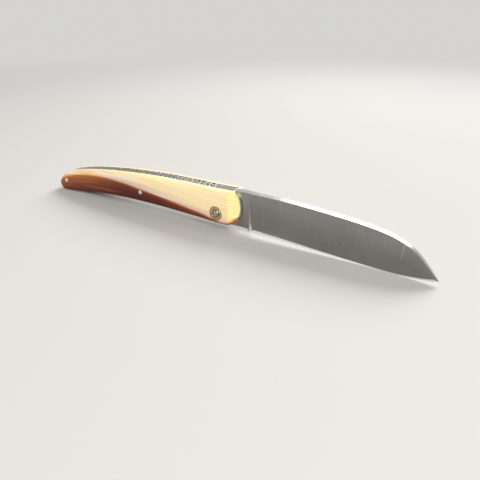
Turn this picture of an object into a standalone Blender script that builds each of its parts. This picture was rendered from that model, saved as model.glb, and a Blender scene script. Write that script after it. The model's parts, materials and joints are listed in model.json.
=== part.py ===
"""Slipjoint folding whittling knife: horn scales on steel liners, one drop-point blade.

The knife stands spine up with the blade open.  +X runs from the tail of the handle to the
blade's tip, +Z is up and Y is the thickness.  The table is z = 0, and the origin is under
the middle of the knife's box.
"""
import math

import bmesh
import bpy
from mathutils import Matrix

MM = 0.001

# Thickness of the stack, from the middle outwards
BLADE_THICKNESS = 3.0 * MM
WASHER_THICKNESS = 0.10 * MM
WASHER_PLAY = 0.025 * MM
LINER_THICKNESS = 0.6 * MM
SCALE_THICKNESS = 3.22 * MM
SEAM = 0.03 * MM

# Pivot
PIVOT_HEIGHT = 8.5 * MM
PIVOT_PIN_RADIUS = 1.6 * MM
PIVOT_DOME = 0.65 * MM
RUNNING_PLAY = 0.04 * MM
PIN_FIT = 0.02 * MM
WASHER_RADIUS = 4.8 * MM
ROSETTE_RADIUS = 2.9 * MM
ROSETTE_THICKNESS = 0.55 * MM
ROSETTE_RECESS = 0.28 * MM
ROSETTE_FIT = 0.06 * MM

# Blade, measured from the pivot and from the table
BLADE_REACH = 90.0 * MM
TIP_HEIGHT = 1.65 * MM
HEEL_REACH = 13.9 * MM
HEEL_HEIGHT = 2.2 * MM
RICASSO_HEIGHT = 3.2 * MM
PLUNGE_SLANT = 0.5 * MM
EDGE_HALF_THICKNESS = 0.12 * MM
CLOSING_ANGLE = 175.0

# Tang, a cam about the pivot
TANG_FLAT = 5.3 * MM
TANG_LIFT = 0.9 * MM
KICK_REACH = 4.5 * MM
SPRING_END = 7.0 * MM
SHOULDER_GAP = 0.08 * MM
TANG_GAP = 0.04 * MM

# Handle, measured from the pivot and from the table
HANDLE_DEPTH = 14.6 * MM
TIP_CLEARANCE = 1.3 * MM
TAIL_PIN_WALL = 1.5 * MM
TAIL_OVERHANG = 5.5 * MM
TAIL_PIN_HEIGHT = 5.5 * MM
TAIL_PIN_RADIUS = 1.15 * MM
FRONT_REACH = 10.7 * MM
LINER_REVEAL = 0.5 * MM
FACET_START = 5.8 * MM
RIM_ROUND = 1.3 * MM
RIM_STEPS = 3

# Spring and scale fasteners
EDGE_CLEARANCE = 0.55 * MM
KICK_CLEARANCE = 0.3 * MM
SPRING_PIN_REACH = 48.0 * MM
SPRING_PIN_RADIUS = 0.9 * MM
SCALE_PIN_REACH = 42.5 * MM
SCALE_PIN_HEIGHT = 9.2 * MM
SCALE_PIN_RADIUS = 1.05 * MM
PIN_DOME = 0.3 * MM

TURN_STEPS = 32

# Outline shapes: share of the reach, and a height or a share of a height
EDGE_SHAPE = ((0.30, 1.75 * MM), (0.48, 0.95 * MM), (0.66, 0.3 * MM), (0.83, 0.0), (0.93, 0.55 * MM))
EDGE_LOWEST = 3
SPINE_SHAPE = (
    (0.20, 1.0), (0.33, 0.993), (0.50, 0.958), (0.66, 0.898), (0.77, 0.825),
    (0.84, 0.727), (0.90, 0.575), (0.955, 0.335),
)
BELLY_SHAPE = (
    (0.0, 4.1 * MM), (0.12, 4.5 * MM), (0.32, 4.8 * MM), (0.52, 4.45 * MM),
    (0.70, 3.3 * MM), (0.86, 1.6 * MM),
)
DEPTH_SHAPE = ((0.0, 1.0), (0.20, 0.945), (0.40, 0.885), (0.60, 0.815), (0.78, 0.755), (0.92, 0.61))

# Sizes that follow from the ones above
LINER_INNER = BLADE_THICKNESS / 2 + WASHER_THICKNESS + 2 * WASHER_PLAY
LINER_OUTER = LINER_INNER + LINER_THICKNESS
TANG_RADIUS = TANG_FLAT + TANG_LIFT
SCALE_INNER = LINER_OUTER + SEAM
SCALE_OUTER = SCALE_INNER + SCALE_THICKNESS
SPRING_HALF = LINER_INNER - SEAM
TAIL_PIN_REACH = BLADE_REACH + TIP_CLEARANCE + TAIL_PIN_WALL + TAIL_PIN_RADIUS
TAIL_REACH = TAIL_PIN_REACH + TAIL_OVERHANG
MIDDLE = (TAIL_REACH - BLADE_REACH) / 2


def clear_scene():
    for item in list(bpy.data.objects):
        bpy.data.objects.remove(item, do_unlink=True)


def new_collection(name):
    collection = bpy.data.collections.new(name)
    bpy.context.scene.collection.children.link(collection)
    return collection


def material(name, colour, roughness, metallic):
    made = bpy.data.materials.new(name)
    made.use_nodes = True
    shader = made.node_tree.nodes["Principled BSDF"]
    shader.inputs["Base Color"].default_value = (*colour, 1.0)
    shader.inputs["Roughness"].default_value = roughness
    shader.inputs["Metallic"].default_value = metallic
    return made


# Outline geometry, all in (x, z) with x measured from the pivot


def smooth(points, steps=5):
    """Points on a Catmull-Rom curve through the given points."""
    padded = [points[0], *points, points[-1]]
    made = []
    for before, start, end, after in zip(padded, padded[1:], padded[2:], padded[3:]):
        for step in range(steps):
            t = step / steps
            made.append(tuple(
                0.5 * (2 * q + (r - p) * t + (2 * p - 5 * q + 4 * r - s) * t**2
                       + (3 * q - p - 3 * r + s) * t**3)
                for p, q, r, s in zip(before, start, end, after)
            ))
    made.append(tuple(points[-1]))
    return made


def arc(centre, radius, start, end, steps):
    """Points on an arc, with angles in degrees from +X towards +Z."""
    made = []
    for step in range(steps + 1):
        angle = math.radians(start + (end - start) * step / steps)
        made.append((centre[0] + radius * math.cos(angle), centre[1] + radius * math.sin(angle)))
    return made


def closed(point):
    """Where a point of the open blade lies when the blade is closed."""
    angle = math.radians(CLOSING_ANGLE)
    x = point[0]
    z = point[1] - PIVOT_HEIGHT
    return (
        x * math.cos(angle) + z * math.sin(angle),
        PIVOT_HEIGHT - x * math.sin(angle) + z * math.cos(angle),
    )


def height_on(line, x):
    """Height of a line of points, sorted by x, above the place x."""
    for start, end in zip(line, line[1:]):
        if start[0] <= x <= end[0]:
            return start[1] + (end[1] - start[1]) * (x - start[0]) / (end[0] - start[0])
    return line[0][1] if x < line[0][0] else line[-1][1]


def belly_line():
    """Lower edge of the handle, from the tail forwards."""
    points = [(-share * TAIL_REACH, height) for share, height in BELLY_SHAPE]
    return smooth(points[::-1])


def back_line():
    """Upper edge of the handle, from the tail forwards."""
    belly = belly_line()
    points = []
    for share, depth in DEPTH_SHAPE:
        x = -share * TAIL_REACH
        points.append((x, height_on(belly, x) + depth * HANDLE_DEPTH))
    return smooth(points[::-1])


def spine_height():
    """Height of the back at the front of the handle, where spring and blade are flush."""
    return back_line()[-1][1] + 0.25 * MM


def tail_curve():
    """Round end of the handle, from the belly up to the back."""
    belly_end = belly_line()[0]
    back_end = back_line()[0]
    curve = smooth([
        belly_end,
        (-TAIL_REACH + 4.2 * MM, 0.0),
        (-TAIL_REACH + 1.3 * MM, 0.75 * MM),
        (-TAIL_REACH, 3.3 * MM),
        (-TAIL_REACH + 0.9 * MM, 6.2 * MM),
        (-TAIL_REACH + 3.6 * MM, 8.4 * MM),
        back_end,
    ])
    return [(x, max(z, 0.0)) for x, z in curve]


def front_curve(reach):
    """Nose of a liner or scale, from the back down to the belly."""
    back = spine_height()
    belly = BELLY_SHAPE[0][1]
    depth = back - belly
    return smooth([
        (SPRING_END + 0.2 * MM, back),
        (reach - 1.5 * MM, back - 0.13 * depth),
        (reach - 0.35 * MM, back - 0.30 * depth),
        (reach, back - 0.50 * depth),
        (reach - 0.5 * MM, back - 0.70 * depth),
        (reach - 2.0 * MM, back - 0.89 * depth),
        (reach - 4.6 * MM, belly + 0.1 * MM),
    ])


def handle_outline(reach):
    """Side view of a liner or scale whose nose ends at the given reach."""
    tail = tail_curve()
    back = back_line()
    nose = front_curve(reach)
    belly = belly_line()
    return tail[:-1] + back + nose + belly[:0:-1]


def edge_line():
    """Cutting edge, from the heel to the tip."""
    points = [(HEEL_REACH, HEEL_HEIGHT)]
    points += [(share * BLADE_REACH, height) for share, height in EDGE_SHAPE]
    points.append((BLADE_REACH, TIP_HEIGHT))
    return smooth(points)


def spine_line():
    """Back of the blade, from the shoulder at the spring's end to the tip."""
    top = spine_height()
    points = [(SPRING_END + SHOULDER_GAP, top)]
    points += [(share * BLADE_REACH, share_up * top) for share, share_up in SPINE_SHAPE]
    points.append((BLADE_REACH, TIP_HEIGHT))
    return smooth(points)


def blade_outline():
    """Tang cam, shoulder, spine, edge, heel, ricasso and the flat that meets the closed spring."""
    flat_half = math.sqrt(TANG_RADIUS**2 - TANG_FLAT**2)
    half_angle = math.degrees(math.atan2(flat_half, TANG_FLAT))
    centre = (0.0, PIVOT_HEIGHT)
    closed_flat = 90.0 + CLOSING_ANGLE
    cam = arc(centre, TANG_RADIUS, closed_flat - half_angle, 90.0 + half_angle, 18)
    shoulder = [(SPRING_END + SHOULDER_GAP, PIVOT_HEIGHT + TANG_FLAT)]
    tilt = math.radians(closed_flat)
    along = (-math.sin(tilt), math.cos(tilt))
    foot = (TANG_FLAT * math.cos(tilt), PIVOT_HEIGHT + TANG_FLAT * math.sin(tilt))
    kick = (foot[0] + along[0] * KICK_REACH, foot[1] + along[1] * KICK_REACH)
    ricasso = smooth([
        (HEEL_REACH - 0.6 * MM, RICASSO_HEIGHT - 0.1 * MM),
        (HEEL_REACH - 1.8 * MM, RICASSO_HEIGHT),
        (kick[0] + 2.2 * MM, RICASSO_HEIGHT),
        kick,
    ])
    return cam + shoulder + spine_line() + edge_line()[-2::-1] + ricasso


def spring_outline():
    """Flush with the back on top; underneath it clears the closed edge and carries the tail pin."""
    back = back_line()
    top = back + [(SPRING_END, spine_height())]
    flat = PIVOT_HEIGHT + TANG_FLAT + TANG_GAP
    kick = PIVOT_HEIGHT + TANG_FLAT + KICK_CLEARANCE
    shut = sorted(closed(point) for point in edge_line())
    under = [(SPRING_END, flat), (-SPRING_END, flat)]
    start = -HEEL_REACH + 2.5 * MM
    stop = shut[0][0] + 1.0 * MM
    stations = 12
    for step in range(stations + 1):
        x = start + (stop - start) * step / stations
        edge_room = height_on(shut, x) + EDGE_CLEARANCE
        under.append((x, max(edge_room, kick) if x > -HEEL_REACH else edge_room))
    clear_radius = BLADE_REACH + TIP_CLEARANCE
    top_angle = 180.0 - math.degrees(math.asin((under[-1][1] - PIVOT_HEIGHT) / clear_radius))
    belly = belly_line()
    bottom_angle = 180.0 + math.degrees(math.asin((PIVOT_HEIGHT - belly[0][1]) / clear_radius))
    bay = arc((0.0, PIVOT_HEIGHT), clear_radius, top_angle, bottom_angle, 8)
    tail = [point for point in tail_curve()[:-1] if point[0] < bay[-1][0] - 0.5 * MM]
    return under + bay + tail + top


# Making solids


def prism(name, outline, near, far):
    """Solid of an outline in the knife's plane, between two places along Y."""
    curve = bpy.data.curves.new(name + "_outline", "CURVE")
    curve.dimensions = "2D"
    curve.fill_mode = "BOTH"
    curve.extrude = (far - near) / 2
    spline = curve.splines.new("POLY")
    spline.points.add(len(outline) - 1)
    for point, (x, z) in zip(spline.points, outline):
        point.co = (x + MIDDLE, z, 0.0, 1.0)
    spline.use_cyclic_u = True
    drawn = bpy.data.objects.new(name + "_outline", curve)
    bpy.context.scene.collection.objects.link(drawn)
    bpy.context.view_layer.update()
    mesh = bpy.data.meshes.new_from_object(drawn.evaluated_get(bpy.context.evaluated_depsgraph_get()))
    bpy.data.objects.remove(drawn, do_unlink=True)
    upright = Matrix.Translation((0.0, (near + far) / 2, 0.0)) @ Matrix.Rotation(math.pi / 2, 4, "X")
    mesh.transform(upright)
    return finish_mesh(name, mesh)


def finish_mesh(name, mesh):
    """Weld a mesh, turn its faces outwards and give it an object."""
    work = bmesh.new()
    work.from_mesh(mesh)
    bmesh.ops.remove_doubles(work, verts=work.verts, dist=0.002 * MM)
    bmesh.ops.recalc_face_normals(work, faces=work.faces)
    work.to_mesh(mesh)
    work.free()
    made = bpy.data.objects.new(name, mesh)
    bpy.context.scene.collection.objects.link(made)
    return made


def turned(name, profile, place):
    """Solid turned about an axis along Y; the profile is (radius, distance along the axis)."""
    mesh = bpy.data.meshes.new(name)
    points = [(radius, 0.0, along) for radius, along in profile]
    lines = [(index, index + 1) for index in range(len(profile) - 1)]
    mesh.from_pydata(points, lines, [])
    made = bpy.data.objects.new(name, mesh)
    bpy.context.scene.collection.objects.link(made)
    screw = made.modifiers.new("turn", "SCREW")
    screw.steps = TURN_STEPS
    screw.render_steps = TURN_STEPS
    screw.use_merge_vertices = True
    screw.merge_threshold = 0.002 * MM
    made.rotation_euler = (math.pi / 2, 0.0, 0.0)
    made.location = (place[0] + MIDDLE, 0.0, place[1])
    return made


def dome(radius, height, end, steps=5):
    """Profile of a domed pin end: from its crown at the axis out to the shank."""
    points = []
    for step in range(steps + 1):
        angle = math.pi / 2 * step / steps
        points.append((radius * math.sin(angle), end + height * math.cos(angle)))
    return points


def round_cutter(name, radius, place, near, far):
    bpy.ops.mesh.primitive_cylinder_add(
        vertices=TURN_STEPS, radius=radius, depth=far - near, end_fill_type="NGON",
        location=(place[0] + MIDDLE, (near + far) / 2, place[1]), rotation=(math.pi / 2, 0.0, 0.0),
    )
    return keep_cutter(name)


def box_cutter(name, size, matrix):
    bpy.ops.mesh.primitive_cube_add(size=1.0)
    made = bpy.context.object
    made.data.transform(matrix @ Matrix.Diagonal((*size, 1.0)))
    return keep_cutter(name)


def keep_cutter(name):
    made = bpy.context.object
    made.name = name
    made.hide_render = True
    made.display_type = "WIRE"
    move_to(made, CUTTERS)
    return made


def move_to(item, collection):
    for old in list(item.users_collection):
        old.objects.unlink(item)
    collection.objects.link(item)


def cut(target, *cutters):
    for cutter in cutters:
        boolean = target.modifiers.new("cut_" + cutter.name, "BOOLEAN")
        boolean.operation = "DIFFERENCE"
        boolean.object = cutter


def finish_part(item, finish, crease=math.radians(30.0)):
    move_to(item, PARTS)
    item.data.materials.append(finish)
    item.data.shade_smooth()
    item.data.set_sharp_from_angle(angle=crease)
    return item


# The sub-parts


def make_blade(steel):
    """Full flat grind on both sides from the plunge forwards, square tang with a cam end."""
    half = BLADE_THICKNESS / 2
    blade = prism("blade", blade_outline(), -half, half)
    bore = PIVOT_PIN_RADIUS + RUNNING_PLAY
    cut(
        blade,
        round_cutter("blade_bore", bore, (0.0, PIVOT_HEIGHT), -2 * half, 2 * half),
        grind_cutter("grind_right", -1),
        grind_cutter("grind_left", 1),
    )
    return set_origin(finish_part(blade, steel), (0.0, PIVOT_HEIGHT))


def grind_cutter(name, side):
    """Block with the flat grind as its inner face and the slanted plunge as its rear one."""
    lowest = EDGE_SHAPE[EDGE_LOWEST]
    fall = (lowest[1] - HEEL_HEIGHT) / (lowest[0] * BLADE_REACH - HEEL_REACH)
    half = BLADE_THICKNESS / 2
    tallest = max(z - HEEL_HEIGHT - fall * (x - HEEL_REACH) for x, z in spine_line())
    slope = (half - EDGE_HALF_THICKNESS) / tallest
    size = (BLADE_REACH, 4 * half, 2 * spine_height())
    place = Matrix.Translation((HEEL_REACH + MIDDLE + size[0] / 2, 0.0, spine_height() / 2))
    made = box_cutter(name, size, place)
    for vertex in made.data.vertices:
        if vertex.co.y * side < 0:
            edge_height = HEEL_HEIGHT + fall * (vertex.co.x - MIDDLE - HEEL_REACH)
            room = EDGE_HALF_THICKNESS + slope * (vertex.co.z - edge_height)
            vertex.co.y = side * room
            if vertex.co.x < HEEL_REACH + MIDDLE + PLUNGE_SLANT:
                vertex.co.x += PLUNGE_SLANT * (1 - room / half)
    return made


def set_origin(item, place):
    """Put an object's origin on the joint's axis, leaving its shape where it is."""
    item.data.transform(Matrix.Translation((-(place[0] + MIDDLE), 0.0, -place[1])))
    item.location = (place[0] + MIDDLE, 0.0, place[1])
    return item


def make_spring(steel):
    spring = prism("back_spring", spring_outline(), -SPRING_HALF, SPRING_HALF)
    wide = 2 * SPRING_HALF
    cut(
        spring,
        round_cutter("spring_fulcrum_bore", SPRING_PIN_RADIUS + PIN_FIT, spring_pin_place(), -wide, wide),
        round_cutter("spring_tail_bore", TAIL_PIN_RADIUS + PIN_FIT, tail_pin_place(), -wide, wide),
    )
    return finish_part(spring, steel)


def spring_pin_place():
    """In the middle of the spring's depth."""
    shut = sorted(closed(point) for point in edge_line())
    under = height_on(shut, -SPRING_PIN_REACH) + EDGE_CLEARANCE
    over = height_on(back_line(), -SPRING_PIN_REACH)
    return (-SPRING_PIN_REACH, (under + over) / 2)


def tail_pin_place():
    return (-TAIL_PIN_REACH, TAIL_PIN_HEIGHT)


def scale_pin_place():
    return (-SCALE_PIN_REACH, SCALE_PIN_HEIGHT)


def make_liner(name, side, steel):
    near, far = sorted((side * LINER_INNER, side * LINER_OUTER))
    liner = prism(name, handle_outline(FRONT_REACH), near, far)
    reach = (near - LINER_THICKNESS, far + LINER_THICKNESS)
    bores = (
        ("pivot", PIVOT_PIN_RADIUS, (0.0, PIVOT_HEIGHT)),
        ("tail", TAIL_PIN_RADIUS, tail_pin_place()),
        ("fulcrum", SPRING_PIN_RADIUS, spring_pin_place()),
        ("scale_pin", SCALE_PIN_RADIUS, scale_pin_place()),
    )
    for label, radius, place in bores:
        cut(liner, round_cutter(name + "_" + label + "_bore", radius + PIN_FIT, place, *reach))
    return finish_part(liner, steel)


def make_scale(name, side, horn):
    """Horn slab with a rounded rim, a slanted front facet and a recess for the rosette."""
    near, far = sorted((side * SCALE_INNER, side * SCALE_OUTER))
    scale = prism(name, handle_outline(FRONT_REACH - LINER_REVEAL), near, far)
    work = bmesh.new()
    work.from_mesh(scale.data)
    outer = side * SCALE_OUTER
    cap = [face for face in work.faces if face.normal.y * side > 0.5]
    flat = bmesh.ops.dissolve_faces(work, faces=cap)["region"][0]
    bmesh.ops.bevel(
        work, geom=list(flat.edges), offset=RIM_ROUND, segments=RIM_STEPS, profile=0.5,
        affect="EDGES", clamp_overlap=False,
    )
    work.to_mesh(scale.data)
    work.free()
    facet_run = FRONT_REACH - LINER_REVEAL - FACET_START
    turn = math.atan2(SCALE_THICKNESS, facet_run)
    box = 40.0 * MM
    lean = (
        Matrix.Translation((FACET_START + MIDDLE, outer, PIVOT_HEIGHT))
        @ Matrix.Rotation(-side * turn, 4, "Z")
        @ Matrix.Translation((0.0, side * box / 2, 0.0))
    )
    cut(scale, box_cutter(name + "_facet", (box, box, box), lean))
    reach = (near - SCALE_THICKNESS, far + SCALE_THICKNESS)
    bores = (
        ("pivot", PIVOT_PIN_RADIUS + PIN_FIT, (0.0, PIVOT_HEIGHT)),
        ("tail", TAIL_PIN_RADIUS + PIN_FIT, tail_pin_place()),
        ("pin", SCALE_PIN_RADIUS + PIN_FIT, scale_pin_place()),
    )
    for label, radius, place in bores:
        cut(scale, round_cutter(name + "_" + label + "_bore", radius, place, *reach))
    floor = SCALE_OUTER - ROSETTE_RECESS
    sink = sorted((side * floor, side * (SCALE_OUTER + SCALE_THICKNESS)))
    seat = ROSETTE_RADIUS + ROSETTE_FIT
    cut(scale, round_cutter(name + "_rosette_seat", seat, (0.0, PIVOT_HEIGHT), *sink))
    return finish_part(scale, horn)


def make_through_pin(name, radius, rise, place, steel):
    """Pin through the whole handle, peened to a dome on both sides."""
    head = dome(radius, rise, SCALE_OUTER)
    foot = [(r, -along) for r, along in head[::-1]]
    return finish_part(turned(name, head + foot, place), steel)


def make_flush_pin(name, radius, place, steel):
    """Pin through liners and spring only, flush with the liners under the scales."""
    profile = [(0.0, LINER_OUTER), (radius, LINER_OUTER), (radius, -LINER_OUTER), (0.0, -LINER_OUTER)]
    return finish_part(turned(name, profile, place), steel)


def make_scale_pin(name, side, steel):
    """Short pin through one scale and its liner; it stops short of the blade's slot."""
    head = dome(SCALE_PIN_RADIUS, PIN_DOME, SCALE_OUTER)
    foot = LINER_INNER + SEAM
    profile = head + [(SCALE_PIN_RADIUS, foot), (0.0, foot)]
    return finish_part(face_side(turned(name, profile, scale_pin_place()), side), steel)


def face_side(item, side):
    """Turned pieces point to -Y; one for the left side is turned about."""
    if side > 0:
        item.rotation_euler = (-math.pi / 2, 0.0, 0.0)
    return item


def make_rosette(name, side, brass):
    """Dished ring let into the scale around the pivot pin."""
    inner = PIVOT_PIN_RADIUS + PIN_FIT
    foot = SCALE_OUTER - ROSETTE_RECESS + SEAM
    top = foot + ROSETTE_THICKNESS
    profile = [
        (inner, foot), (inner, top - 0.12 * MM), (inner + 0.45 * MM, top - 0.16 * MM),
        (ROSETTE_RADIUS - 0.75 * MM, top - 0.03 * MM), (ROSETTE_RADIUS - 0.45 * MM, top),
        (ROSETTE_RADIUS - 0.12 * MM, top - 0.12 * MM), (ROSETTE_RADIUS, top - 0.3 * MM),
        (ROSETTE_RADIUS, foot), (inner, foot),
    ]
    return finish_part(face_side(turned(name, profile, (0.0, PIVOT_HEIGHT)), side), brass)


def make_washer(name, side, bronze):
    inner = PIVOT_PIN_RADIUS + RUNNING_PLAY
    near = BLADE_THICKNESS / 2 + WASHER_PLAY
    far = near + WASHER_THICKNESS
    profile = [(inner, near), (inner, far), (WASHER_RADIUS, far), (WASHER_RADIUS, near), (inner, near)]
    return finish_part(face_side(turned(name, profile, (0.0, PIVOT_HEIGHT)), side), bronze)


def build():
    blade_steel = material("blade_steel", (0.62, 0.62, 0.63), 0.28, 1.0)
    spring_steel = material("spring_steel", (0.33, 0.33, 0.34), 0.4, 1.0)
    liner_steel = material("liner_steel", (0.6, 0.6, 0.61), 0.3, 1.0)
    pin_steel = material("pin_steel", (0.66, 0.67, 0.7), 0.2, 1.0)
    horn = material("horn", (0.8, 0.6, 0.34), 0.22, 0.0)
    brass = material("rosette_brass", (0.6, 0.42, 0.2), 0.3, 1.0)
    bronze = material("washer_bronze", (0.66, 0.42, 0.24), 0.35, 1.0)
    make_blade(blade_steel)
    make_spring(spring_steel)
    for side, word in ((-1, "right"), (1, "left")):
        make_liner("liner_" + word, side, liner_steel)
        make_scale("scale_" + word, side, horn)
        make_rosette("rosette_" + word, side, brass)
        make_washer("washer_" + word, side, bronze)
        make_scale_pin("scale_pin_" + word, side, pin_steel)
    make_through_pin("pivot_pin", PIVOT_PIN_RADIUS, PIVOT_DOME, (0.0, PIVOT_HEIGHT), pin_steel)
    make_through_pin("tail_pin", TAIL_PIN_RADIUS, PIN_DOME, tail_pin_place(), pin_steel)
    make_flush_pin("spring_pin", SPRING_PIN_RADIUS, spring_pin_place(), pin_steel)


clear_scene()
PARTS = new_collection("folding_whittling_knife")
CUTTERS = new_collection("cutters")
build()
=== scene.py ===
import json
import math

import bmesh
import bpy
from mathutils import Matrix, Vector, noise


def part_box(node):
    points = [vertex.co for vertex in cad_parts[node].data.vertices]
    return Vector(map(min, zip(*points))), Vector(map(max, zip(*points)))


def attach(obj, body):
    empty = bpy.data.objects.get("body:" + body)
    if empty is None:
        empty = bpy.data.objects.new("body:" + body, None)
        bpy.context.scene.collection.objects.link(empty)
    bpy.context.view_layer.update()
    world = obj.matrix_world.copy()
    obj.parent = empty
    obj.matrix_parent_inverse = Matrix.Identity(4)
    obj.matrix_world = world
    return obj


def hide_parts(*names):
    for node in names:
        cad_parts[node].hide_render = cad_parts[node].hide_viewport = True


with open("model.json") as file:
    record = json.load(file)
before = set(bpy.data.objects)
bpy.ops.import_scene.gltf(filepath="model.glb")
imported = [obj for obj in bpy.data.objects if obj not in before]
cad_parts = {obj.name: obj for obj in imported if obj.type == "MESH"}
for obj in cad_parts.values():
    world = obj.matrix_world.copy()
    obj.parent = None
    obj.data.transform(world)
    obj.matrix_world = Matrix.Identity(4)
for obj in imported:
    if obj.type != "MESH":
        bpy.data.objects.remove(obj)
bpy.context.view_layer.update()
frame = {"nodes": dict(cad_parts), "record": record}


# Studio: a pale dish whose rim rises far from the knife, a broad soft light above and behind
# the handle, a weaker one in front, and a camera that looks down along the knife's right side.
MM = 0.001
CAMERA_PLACE = (0.11279, -0.15605, 0.08896)
CAMERA_DIP = 26.68
CAMERA_TURN = 32.45
CAMERA_ROLL = 0.1
CAMERA_LENS = 36.0
CAMERA_FILM = 36.0
CAMERA_NEAREST = 10.0 * MM
LAMP_SPREAD = math.radians(110.0)
ROOM_PALE = (0.93, 0.96, 1.0, 1.0)
ROOM_LEVEL = 0.36
DISH_PALE = (0.52, 0.515, 0.505, 1.0)
DISH_RADIUS = 1.7
DISH_CORNERS = 96
DISH_STEPS = 6
DISH_RISE = 1.3
DISH_FLARE = 0.5
FAR_PALE = (0.66, 0.655, 0.645, 1.0)
FAR_START = 0.25
FAR_END = 0.75

camera_data = bpy.data.cameras.new("camera")
camera_data.lens = CAMERA_LENS
camera_data.sensor_width = CAMERA_FILM
camera_data.clip_start = CAMERA_NEAREST
camera = bpy.data.objects.new("camera", camera_data)
camera.location = CAMERA_PLACE
camera.rotation_euler = [
    math.radians(angle) for angle in (90.0 - CAMERA_DIP, CAMERA_ROLL, CAMERA_TURN)]
bpy.context.scene.collection.objects.link(camera)
bpy.context.scene.camera = camera
bpy.context.scene.view_settings.view_transform = "Standard"


def soft_light(name, place, size, power, colour):
    """A square lamp that faces the knife."""
    lamp = bpy.data.lights.new(name, "AREA")
    lamp.size = size
    lamp.energy = power
    lamp.color = colour
    lamp.spread = LAMP_SPREAD
    stand = bpy.data.objects.new(name, lamp)
    stand.location = place
    stand.rotation_euler = (-Vector(place)).to_track_quat("-Z", "Y").to_euler()
    bpy.context.scene.collection.objects.link(stand)


soft_light("window_light", (0.0, 0.85, 0.70), 0.75, 6.4, (1.0, 0.97, 0.93))
soft_light("side_light", (0.65, -0.60, 0.60), 0.5, 4.3, (1.0, 0.96, 0.90))

room = bpy.data.worlds.new("room")
room.use_nodes = True
room.node_tree.nodes["Background"].inputs["Color"].default_value = ROOM_PALE
room.node_tree.nodes["Background"].inputs["Strength"].default_value = ROOM_LEVEL
bpy.context.scene.world = room


def add_node(tree, kind, inputs=None, **settings):
    """A node with its settings, its values, and links for inputs that are other sockets."""
    made = tree.nodes.new(kind)
    for key, value in settings.items():
        setattr(made, key, value)
    for key, value in (inputs or {}).items():
        if isinstance(value, bpy.types.NodeSocket):
            tree.links.new(value, made.inputs[key])
        else:
            made.inputs[key].default_value = value
    return made


def new_paint(name, metallic):
    """A finish with only its shader: the material, its nodes, the shader and the coordinates."""
    paint = bpy.data.materials.new(name)
    paint.use_nodes = True
    tree = paint.node_tree
    shader = tree.nodes["Principled BSDF"]
    shader.inputs["Metallic"].default_value = metallic
    place = add_node(tree, "ShaderNodeTexCoord").outputs["Object"]
    return paint, tree, shader, place


def maths(tree, operation, first, second=0.0, third=0.0):
    """One step of arithmetic between sockets or numbers."""
    inputs = {0: first, 1: second, 2: third}
    return add_node(tree, "ShaderNodeMath", inputs, operation=operation).outputs[0]


def between(tree, value, low, high):
    """A value that rises smoothly from 0 at low to 1 at high."""
    inputs = {"Value": value, "From Min": low, "From Max": high}
    return add_node(tree, "ShaderNodeMapRange", inputs, interpolation_type="SMOOTHSTEP").outputs[0]


bpy.ops.object.select_all(action="DESELECT")
bpy.ops.mesh.primitive_circle_add(vertices=DISH_CORNERS, radius=DISH_RADIUS, fill_type="NGON")
dish = bpy.context.object
dish.name = "table_top"
bpy.ops.object.mode_set(mode="EDIT")
bpy.ops.mesh.region_to_loop()
for step in range(DISH_STEPS):
    lean = math.radians(90.0 * (step + 0.5) / DISH_STEPS)
    length = DISH_RISE / DISH_STEPS
    bpy.ops.mesh.extrude_region_move(
        TRANSFORM_OT_translate={"value": (0.0, 0.0, length * math.sin(lean))})
    wider = 1.0 + DISH_FLARE * length * math.cos(lean)
    bpy.ops.transform.resize(value=(wider, wider, 1.0), center_override=(0.0, 0.0, 0.0))
bpy.ops.object.mode_set(mode="OBJECT")
bpy.ops.object.shade_smooth()

# Far from the knife the dish is seen at one pale level, however little of the light is there
dish_paint, tree, shader, place = new_paint("table_paint", 0.0)
shader.inputs["Base Color"].default_value = DISH_PALE
shader.inputs["Roughness"].default_value = 1.0
shader.inputs["Specular IOR Level"].default_value = 0.0
reach = add_node(tree, "ShaderNodeVectorMath", {0: place}, operation="LENGTH").outputs["Value"]
rays = add_node(tree, "ShaderNodeLightPath").outputs
seen = maths(tree, "MAXIMUM", rays["Is Camera Ray"], rays["Is Glossy Ray"])
seen = maths(tree, "MAXIMUM", seen, rays["Is Transmission Ray"])
far = maths(tree, "MULTIPLY", seen, between(tree, reach, FAR_START, FAR_END))
far_glow = add_node(tree, "ShaderNodeEmission", {"Color": FAR_PALE}).outputs[0]
mixed = add_node(tree, "ShaderNodeMixShader", {0: far, 1: shader.outputs[0], 2: far_glow})
tree.links.new(mixed.outputs[0], tree.nodes["Material Output"].inputs["Surface"])
dish.data.materials.append(dish_paint)


# Horn scales: two slabs sawn from one horn, polished.  The outer edge is rounded broadly along
# the back and narrowly along the belly, and a slanted facet thins the front down to the liner.
PIVOT_X = frame["record"]["behaviour"]["joints"][0]["pos_m"][0]
PIVOT_Z = frame["record"]["behaviour"]["joints"][0]["pos_m"][2]
SIDES = ((-1.0, "right"), (1.0, "left"))
BACK_ROUND = 2.3 * MM
BELLY_ROUND_SHARE = 0.36
ROUND_LEVEL = 0.10
ROUND_GAIN = 1.2
ROUND_EASING = 2
SIDE_STEPS = 8
FACET_REACH = 5.8 * MM
FACET_EDGE_ROUND = 0.35 * MM
FACET_EDGE_STEPS = 4
HORN_SEAM_ROUND = 0.07 * MM
HORN_EDGE_ANGLE = 32.0
WELD = 0.004 * MM
NEARLY_FLAT = math.radians(0.3)
NEAR = 0.05 * MM
SIDEWAYS = 0.9
FLAT_SIDEWAYS = 0.99
SAME_FACING = 0.9999


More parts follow.
